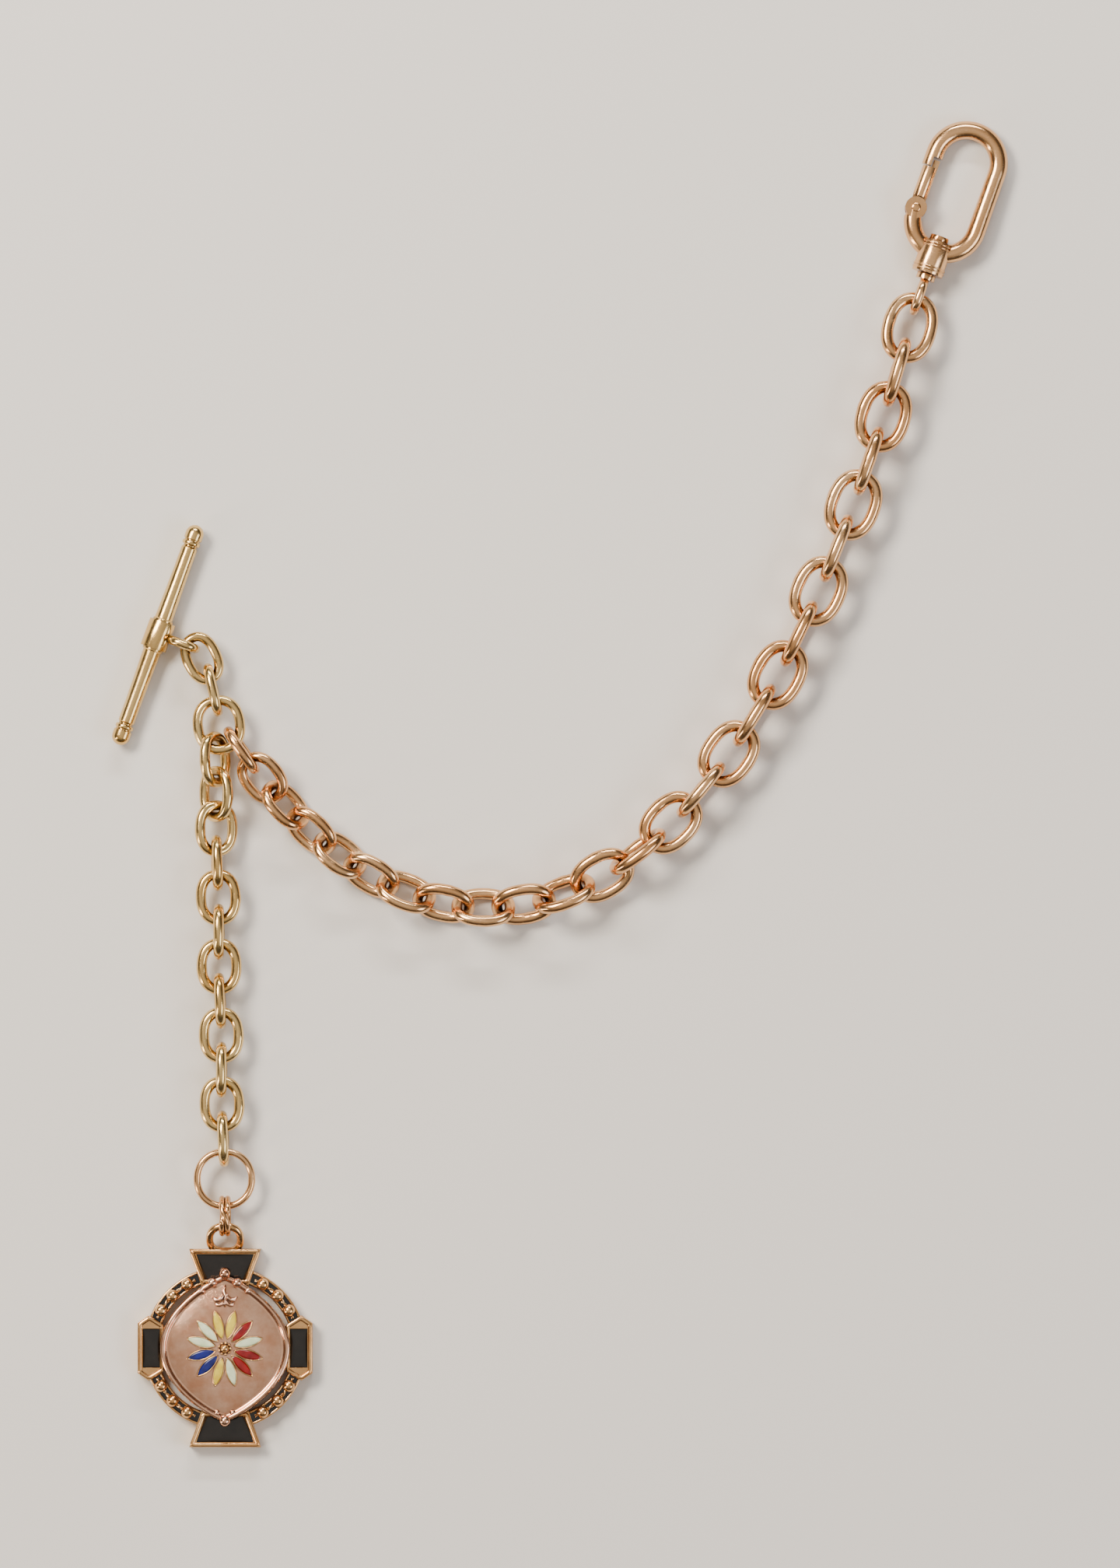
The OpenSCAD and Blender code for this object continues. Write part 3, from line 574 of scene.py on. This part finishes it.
def shieldMesh(bm):
    look, gap = shieldLook, shieldLook["rimGap"]
    count = look["around"]
    turns = [2 * math.pi * (i + 0.5) / count for i in range(count)]
    rings = []
    for j in range(1, look["inside"] + 1):
        share = j / look["inside"]
        ring = []
        for turn in turns:
            x, y = shieldEdge(turn, fob["rimWidth"] + gap)
            x, y = x * share, y * share
            ring.append(bm.verts.new(fobPoint(x, y, fieldHeight(x, y))))
        rings.append(ring)
    # over the rolled rim and down its outside
    top = fob["plateTop"] + fob["base"] + fob["rim"]
    half = fob["rimWidth"] / 2
    for k in range(look["rimSteps"]):
        a = math.pi * k / (look["rimSteps"] - 1)
        inset, height = half * (1 + math.cos(a)), top - half * look["rimRise"] * (1 - math.sin(a))
        rings.append([bm.verts.new(fobPoint(*shieldEdge(turn, inset), height)) for turn in turns])
    rings.append([bm.verts.new(fobPoint(*shieldEdge(turn, gap), fob["plateTop"] + look["skirt"]))
                  for turn in turns])
    hub = bm.verts.new(fobPoint(0, 0, fob["domeTop"]))
    for i in range(count):
        bm.faces.new((hub, rings[0][i], rings[0][(i + 1) % count]))
    skin(bm, rings, capped=False)
    bm.faces.new(rings[-1][::-1])


def ball(bm, x, y, z, r):
    made = bmesh.ops.create_icosphere(bm, subdivisions=3, radius=r * mm)
    for v in made["verts"]:
        v.co += fobPoint(x, y, z)


def wireAlong(bm, points, radius, sides=8, closed=False, ends=1.0):
    # ends: how thick its two ends are, as a share of its middle
    path = [fobPoint(*p) for p in points]
    last = len(path) - 1
    radii = [radius * mm * (1 if closed else 1 - (1 - ends) * abs(2 * i / last - 1) ** 3)
             for i in range(len(path))]
    sweep(bm, path, radii, sides, closed, upward)


# balls soldered over the shield's top and foot: x, y, radius
crest = {"lift": 0.1, "balls": [(0, 9.0, 0.7), (-1.5, 7.9, 0.6), (1.5, 7.9, 0.6), (-2.75, 6.9, 0.42),
                                (2.75, 6.9, 0.42), (0, -8.7, 0.7), (-0.95, -7.75, 0.36), (0.95, -7.75, 0.36)]}

bm = bmesh.new()
shieldMesh(bm)
for x, y, r in crest["balls"]:
    ball(bm, x, y, fob["plateTop"] + fob["border"] + crest["lift"] + r, r)
finishPiece("domed_shield", bm, "fob_shield")

# sprig under the crest: a stem with four curled leaves, raised from the field; pairs: height, size
sprig = {"stem": [(0.05, 7.6), (-0.12, 6.9), (0.14, 6.2), (-0.05, 5.5), (0.0, 5.0)], "stemLift": 0.08,
         "pairs": ((6.7, 1.0), (5.9, 0.8)), "leaf": 1.5, "droop": 0.9, "curl": 2.6, "leafLift": 0.1,
         "wire": 0.24}

bm = bmesh.new()
wireAlong(bm, [(x, y, fieldHeight(x, y) + sprig["stemLift"]) for x, y in sprig["stem"]], sprig["wire"], ends=0.4)
for side in (-1, 1):
    for up, grow in sprig["pairs"]:
        curl = []
        for i in range(12):
            share = i / 11
            x = side * sprig["leaf"] * grow * share
            y = up - sprig["droop"] * grow * math.sin(share * sprig["curl"])
            curl.append((x, y, fieldHeight(x, y) + sprig["leafLift"]))
        wireAlong(bm, curl, sprig["wire"] * grow, ends=0.25)
finishPiece("crest_sprig", bm, "fob_shield")

# half-round wires soldered along the borders, which catch the light as thin bright lines
borders = {"upper": [(-2.6, 7.95), (2.6, 7.95), (4.0, 11.62), (-4.0, 11.62)],
           "side": [(7.5, -2.62), (9.1, -3.62), (10.22, -2.85), (10.22, 2.85), (9.1, 3.62), (7.5, 2.62)],
           "corner": 0.3, "sunk": 0.03, "half": 0.27, "height": 0.2, "sides": 12,
           "ringHalf": 0.17, "outerRing": 9.62, "innerRing": 8.28, "ringSpan": 25.5}


def rimWire(bm, points, half, height, closed):
    # an oval wire: wide across the plate, low over it
    path = [fobPoint(*p) for p in points]
    rings = []
    for point, ahead in zip(path, headings(path, closed)):
        side = ahead.cross(upward)
        rings.append([bm.verts.new(point + (side * math.cos(a) * half + upward * math.sin(a) * height) * mm)
                      for a in around(borders["sides"])])
    skin(bm, rings, joined=closed)


def roundedLoop(corners, radius, z):
    # each corner becomes a short arc
    out = []
    for k, corner in enumerate(corners):
        here = Vector(corner)
        back = (Vector(corners[k - 1]) - here).normalized() * radius
        on = (Vector(corners[(k + 1) % len(corners)]) - here).normalized() * radius
        for i in range(7):
            t = i / 6
            spot = here + back * (1 - t) ** 2 + on * t ** 2
            out.append((spot.x, spot.y, z))
    return out


quarters = [45 + 90 * quarter for quarter in range(4)]  # degrees: the middles between the arms
bm = bmesh.new()
top = fob["plateTop"] + fob["border"] - borders["sunk"]
for corners in (borders["upper"], borders["side"]):
    for turn in (1, -1):
        loop = roundedLoop([(x * turn, y * turn) for x, y in corners], borders["corner"], top)
        rimWire(bm, loop, borders["half"], borders["height"], True)
for quarter in quarters:
    for r in (borders["outerRing"], borders["innerRing"]):
        arc = [math.radians(quarter + borders["ringSpan"] * (i / 20 - 1)) for i in range(41)]
        rimWire(bm, [(r * math.cos(a), r * math.sin(a), fob["plateTop"]) for a in arc],
                borders["ringHalf"], borders["ringHalf"], False)
finishPiece("border_wires", bm, "fob_frame", standsFor=False)

# enamel pools: a slightly crowned fill in each arm, and a thin dark coat that makes the ring darker under each
# strip of beads;
# coatProfile: (place in from the coat's nearer edge, height over the plate)
pools = {"upper": [(-2.1, 8.2), (2.1, 8.2), (3.5, 11.3), (-3.5, 11.3)],
         "side": [(7.8, -2.35), (9.9, -2.35), (9.9, 2.35), (7.8, 2.35)],
         "crown": 0.12, "rows": 14, "sunk": 0.02, "thick": 0.4,
         "coat": (8.3, 9.6), "coatHalf": 25.0, "coatProfile": [(0, -0.03), (0.08, 0.05), (0.3, 0.08)]}


def poolMesh(bm, corners, turn):
    rows = pools["rows"]
    c, s = math.cos(turn), math.sin(turn)
    grid = []
    for i in range(rows + 1):
        u = i / rows
        line = []
        for j in range(rows + 1):
            v = j / rows
            x, y = ((corners[0][k] * (1 - u) + corners[1][k] * u) * (1 - v)
                    + (corners[3][k] * (1 - u) + corners[2][k] * u) * v for k in (0, 1))
            height = pools["crown"] * (1 - (2 * u - 1) ** 4) * (1 - (2 * v - 1) ** 4)
            line.append(bm.verts.new(fobPoint(x * c - y * s, x * s + y * c,
                                              fob["plateTop"] - pools["sunk"] + height)))
        grid.append(line)
    skin(bm, grid, closed=False, capped=False)
    rim = (grid[0][:rows] + [grid[i][rows] for i in range(rows)] + grid[rows][:0:-1]
           + [grid[i][0] for i in range(rows, 0, -1)])
    bottom = [bm.verts.new(v.co - upward * pools["thick"] * mm) for v in rim]
    skin(bm, [rim, bottom], capped=False)
    bm.faces.new(bottom)


def coatMesh(bm, middle):
    inner, outer = pools["coat"]
    half = math.radians(pools["coatHalf"])
    profile = [(inner + x, z) for x, z in pools["coatProfile"]]
    profile += [(outer - x, z) for x, z in reversed(pools["coatProfile"])]
    rings = []
    for i in range(41):
        turn = middle + half * (2 * i / 40 - 1)
        rings.append([bm.verts.new(fobPoint(r * math.cos(turn), r * math.sin(turn), fob["plateTop"] + z))
                      for r, z in profile])
    skin(bm, rings)


bm = bmesh.new()
for corners in (pools["upper"], pools["side"]):
    for turn in (0, math.pi):
        poolMesh(bm, corners, turn)
for quarter in quarters:
    coatMesh(bm, math.radians(quarter))
finishPiece("enamel_pools", bm, "fob_arm_enamel", bevel=0.03)

# beads on a twisted wire, four strips of three, each bead in a small cup. step: degrees from bead to bead,
# pitch: how far the strand twists from point to point, past: how far it runs on past the last bead
beads = {"count": 3, "radius": 0.75, "circle": 8.9, "step": 14.4, "seat": 2.05,
         "cup": 0.55, "cupWire": 0.1, "cupLift": 0.12,
         "strand": 0.12, "strandPoints": 60, "past": 0.12, "pitch": 0.42, "twist": 0.11, "strandDrop": 0.1}

bm = bmesh.new()
for quarter in quarters:
    turns = [math.radians(quarter + beads["step"] * (n - (beads["count"] - 1) / 2)) for n in range(beads["count"])]
    for turn in turns:
        x, y = beads["circle"] * math.cos(turn), beads["circle"] * math.sin(turn)
        ball(bm, x, y, beads["seat"], beads["radius"])
        cup = [(x + beads["cup"] * math.cos(a), y + beads["cup"] * math.sin(a), fob["plateTop"] + beads["cupLift"])
               for a in around(24)]
        wireAlong(bm, cup, beads["cupWire"], closed=True)
    span = turns[-1] - turns[0] + 2 * beads["past"]
    for phase in (0, math.pi):
        strand = []
        for i in range(beads["strandPoints"]):
            turn = turns[0] - beads["past"] + span * i / (beads["strandPoints"] - 1)
            twist = phase + i * beads["pitch"]
            r = beads["circle"] + beads["twist"] * math.cos(twist)
            strand.append((r * math.cos(turn), r * math.sin(turn),
                           beads["seat"] - beads["strandDrop"] + beads["twist"] * math.sin(twist)))
        wireAlong(bm, strand, beads["strand"], ends=0.6)
finishPiece("bead_strips", bm, "fob_bead_strips")

# petals: pillows of enamel inside thin gold walls
petals = {"order": "pale red yellow yellow pale pale blue blue yellow pale red red".split(),
          "root": 1.15, "reach": 4.7, "width": 1.15, "rows": 18, "columns": 9,
          "height": 0.2, "sunk": 0.02, "thick": 0.06, "fillLength": 0.94, "fillWidth": 0.97,
          "wall": 0.075, "wallLift": 0.1}


def petalHalfWidth(share):
    # the petal's two sides are arcs that meet in its points
    half = (petals["reach"] - petals["root"]) / 2
    r = (half * half + petals["width"] ** 2 / 4) / petals["width"]
    x = (share * 2 - 1) * half
    return max(0.0, math.sqrt(r * r - x * x) - (r - petals["width"] / 2))


def petalSpot(turn, share, side, lift):
    x = petals["root"] + (petals["reach"] - petals["root"]) * share
    y = petalHalfWidth(share) * side
    px, py = x * math.cos(turn) - y * math.sin(turn), x * math.sin(turn) + y * math.cos(turn)
    return px, py, fieldHeight(px, py) + lift


def petalMesh(bm, turn):
    rows, columns = petals["rows"], petals["columns"]
    length, width = petals["fillLength"], petals["fillWidth"]
    grid = []
    for i in range(rows + 1):
        share = i / rows
        line = []
        for j in range(columns + 1):
            side = 2 * j / columns - 1
            crown = math.sqrt(max(0, 1 - side ** 4)) * math.sqrt(max(0, 1 - (2 * share - 1) ** 6))
            line.append(bm.verts.new(fobPoint(*petalSpot(turn, (1 - length) / 2 + length * share, side * width,
                                                         petals["height"] * crown - petals["sunk"]))))
        grid.append(line)
    skin(bm, grid, closed=False, capped=False)
    bottom = bmesh.ops.extrude_face_region(bm, geom=list(bm.faces))
    for v in (e for e in bottom["geom"] if isinstance(e, bmesh.types.BMVert)):
        v.co.z -= petals["thick"] * mm


step = 2 * math.pi / len(petals["order"])
petalTurns = [step * (n + 0.5) for n in range(len(petals["order"]))]
for colour in ("red", "yellow", "blue", "pale"):
    bm = bmesh.new()
    for turn, ordered in zip(petalTurns, petals["order"]):
        if ordered == colour:
            single = bmesh.new()
            petalMesh(single, turn)
            part = bpy.data.meshes.new("part")
            single.to_mesh(part)
            single.free()
            bm.from_mesh(part)
            bpy.data.meshes.remove(part)
    finishPiece("enamel_petals_" + colour, bm, "petals_" + colour)

# stud in the middle: a ball in a ring of seed beads
stud = {"radius": 0.52, "lift": 0.25, "seeds": 9, "seedCircle": 0.68, "seedLift": 0.12, "seedRadius": 0.19}

bm = bmesh.new()
for turn in petalTurns:
    outline = [petalSpot(turn, i / 16, 1, petals["wallLift"]) for i in range(17)]
    outline += [petalSpot(turn, i / 16, -1, petals["wallLift"]) for i in range(15, 0, -1)]
    wireAlong(bm, outline, petals["wall"], sides=6, closed=True)
ball(bm, 0, 0, fob["domeTop"] + stud["lift"], stud["radius"])
for a in around(stud["seeds"]):
    ball(bm, stud["seedCircle"] * math.cos(a), stud["seedCircle"] * math.sin(a),
         fob["domeTop"] + stud["seedLift"], stud["seedRadius"])
finishPiece("petal_walls_and_stud", bm, "rosette_stud")
print("stage: fob")

# riveted pin heads on the gate's ears, and turned bands on the collar; mm, bands: places along the collar
clasp = {"headR": 0.56, "headH": 0.16, "headSunk": 0.3, "earTop": 1.05, "pinR": 0.39, "pinSides": 28,
         "bands": (0.42, 0.78, 3.3, 3.66), "bandR": 1.88, "bandWire": 0.13}

gateJoint, swivelJoint = joints["clasp_gate"], joints["clasp_swivel"]
pinAt, pinAxis = Vector(gateJoint["pos_m"]), Vector(gateJoint["axis"]).normalized()
bm = bmesh.new()
dome = [(clasp["earTop"] - clasp["headSunk"], clasp["headR"])]
for k in range(9):
    a = math.pi / 2 * k / 8
    dome.append((clasp["earTop"] + clasp["headH"] * math.sin(a), max(0.02, clasp["headR"] * math.cos(a))))
for side in (-1, 1):
    lathe(bm, pinAt, pinAxis * side, dome, sides=clasp["pinSides"])
shaft = [(-clasp["earTop"], clasp["pinR"]), (clasp["earTop"], clasp["pinR"])]
lathe(bm, pinAt, pinAxis, shaft, sides=clasp["pinSides"])
finishPiece("gate_pin_riveted", bm, "clasp_gate_pin")

swivelAt, swivelAxis = Vector(swivelJoint["pos_m"]), Vector(swivelJoint["axis"]).normalized()
if (boxMiddle("clasp_hook") - swivelAt).dot(swivelAxis) <= 0:
    swivelAxis = -swivelAxis
side = swivelAxis.orthogonal().normalized()
up = swivelAxis.cross(side)
bm = bmesh.new()
for x in clasp["bands"]:
    middle = swivelAt + swivelAxis * x * mm
    loop = [middle + (side * math.cos(a) + up * math.sin(a)) * clasp["bandR"] * mm for a in around(40)]
    sweep(bm, loop, [clasp["bandWire"] * mm] * len(loop), 8, True, swivelAxis)
finishPiece("collar_bands", bm, "clasp_hook", standsFor=False)
print("stage: clasp")

# CAD pieces that keep their shape get softened edges, this wide in mm
softened = {"fob_frame": 0.14, "t_bar_eye": 0.09, "clasp_eye": 0.07, "clasp_hook": 0.12, "clasp_gate": 0.1,
            "clasp_gate_spring": 0.03}
for node, width in softened.items():
    piece = frame["nodes"][node]
    weld = piece.modifiers.new("weld", "WELD")
    weld.merge_threshold = 0.002 * mm
    softEdges(piece, width, 38)
print("stage: edges")
